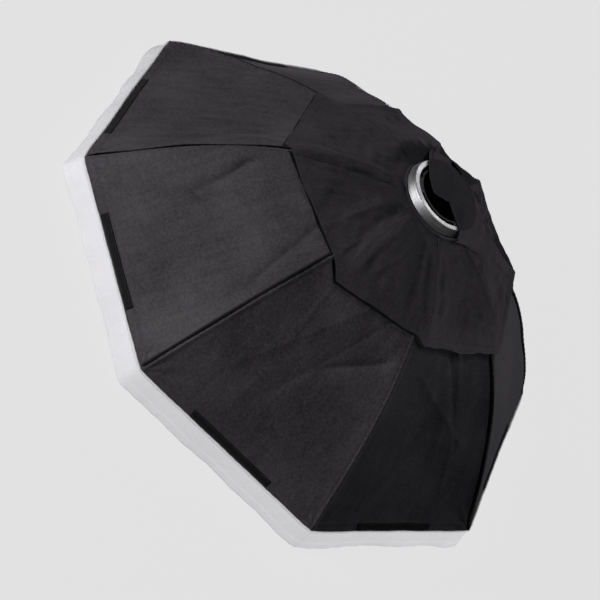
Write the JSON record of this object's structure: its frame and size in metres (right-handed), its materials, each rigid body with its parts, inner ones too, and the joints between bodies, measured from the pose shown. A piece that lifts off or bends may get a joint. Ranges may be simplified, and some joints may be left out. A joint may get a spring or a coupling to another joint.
{
  "type": "studio softbox",
  "caption": "Octagonal fabric softbox on bowed rods with a rear hood, metal speed ring, turning bayonet insert with a lock knob, white front diffuser and inner baffle.",
  "frame": {"origin": "centre of the front face, on the plane that the front hem rests on", "axes": "+Z along the light's axis from the front cloth to the speed ring at the rear; +X and +Y each cross the middle of a flat side of the octagon"},
  "size_m": [0.9084, 0.9084, 0.349],
  "materials": {
    "shell_fabric": "black coated woven nylon, matt with a faint sheen",
    "hood_fabric": "black woven nylon, softly wrinkled, double-stitched",
    "patch_fabric": "heavy black nylon reinforcement",
    "hook_and_loop": "black hook-and-loop tape with a fuzzy pile",
    "elastic": "black ribbed elastic webbing",
    "white_piping": "white piping cord",
    "diffuser_fabric": "white translucent nylon, lightly puckered at its seams",
    "baffle_fabric": "white translucent nylon",
    "silver_metal": "turned and brushed bare aluminium",
    "black_metal": "black anodised, satin",
    "clip_steel": "spring steel",
    "spring_rod": "drawn spring-steel rod",
    "black_plastic": "black moulded plastic, fine texture",
    "nylon": "natural nylon"
  },
  "bodies": {
    "softbox": {"shell_panel_1": "shell_fabric", "corner_patch_1": "patch_fabric", "rim_strip_1": "hook_and_loop", "rod_1": "spring_rod", "rod_tip_1": "black_plastic", "baffle_strap_1": "elastic", "shell_panel_2": "shell_fabric", "corner_patch_2": "patch_fabric", "rim_strip_2": "hook_and_loop", "rod_2": "spring_rod", "rod_tip_2": "black_plastic", "baffle_strap_2": "elastic", "shell_panel_3": "shell_fabric", "corner_patch_3": "patch_fabric", "rim_strip_3": "hook_and_loop", "rod_3": "spring_rod", "rod_tip_3": "black_plastic", "baffle_strap_3": "elastic", "shell_panel_4": "shell_fabric", "corner_patch_4": "patch_fabric", "rim_strip_4": "hook_and_loop", "rod_4": "spring_rod", "rod_tip_4": "black_plastic", "baffle_strap_4": "elastic", "shell_panel_5": "shell_fabric", "corner_patch_5": "patch_fabric", "rim_strip_5": "hook_and_loop", "rod_5": "spring_rod", "rod_tip_5": "black_plastic", "baffle_strap_5": "elastic", "shell_panel_6": "shell_fabric", "corner_patch_6": "patch_fabric", "rim_strip_6": "hook_and_loop", "rod_6": "spring_rod", "rod_tip_6": "black_plastic", "baffle_strap_6": "elastic", "shell_panel_7": "shell_fabric", "corner_patch_7": "patch_fabric", "rim_strip_7": "hook_and_loop", "rod_7": "spring_rod", "rod_tip_7": "black_plastic", "baffle_strap_7": "elastic", "shell_panel_8": "shell_fabric", "corner_patch_8": "patch_fabric", "rim_strip_8": "hook_and_loop", "rod_8": "spring_rod", "rod_tip_8": "black_plastic", "baffle_strap_8": "elastic", "hood": "hood_fabric", "rim_piping": "white_piping", "front_diffuser": "diffuser_fabric", "inner_baffle": "baffle_fabric", "speed_ring": "silver_metal", "retaining_clip": "clip_steel"},
    "insert": {"bayonet_insert": "black_metal"},
    "lock_pad": {"lock_pad": "nylon"},
    "lock_knob": {"lock_knob": "black_plastic"}
  },
  "joints": [
    {"name": "insert_turn", "type": "hinge", "parent": "softbox", "child": "insert", "pos_m": [0, 0, 0.3336], "axis": [0, 0, 1], "continuous": true},
    {"name": "lock_pad_slide", "type": "slide", "parent": "softbox", "child": "lock_pad", "axis": [0.7071, -0.7071, 0], "range_m": [0, 0.0015]},
    {"name": "lock_knob_turn", "type": "hinge", "parent": "lock_pad", "child": "lock_knob", "pos_m": [0.05657, -0.05657, 0.3336], "axis": [0.7071, -0.7071, 0], "range_deg": [0, 540]}
  ],
  "couplings": [
    {"joint": "lock_knob_turn", "follows": "lock_pad_slide", "rad_per_m": 6283.2}
  ]
}
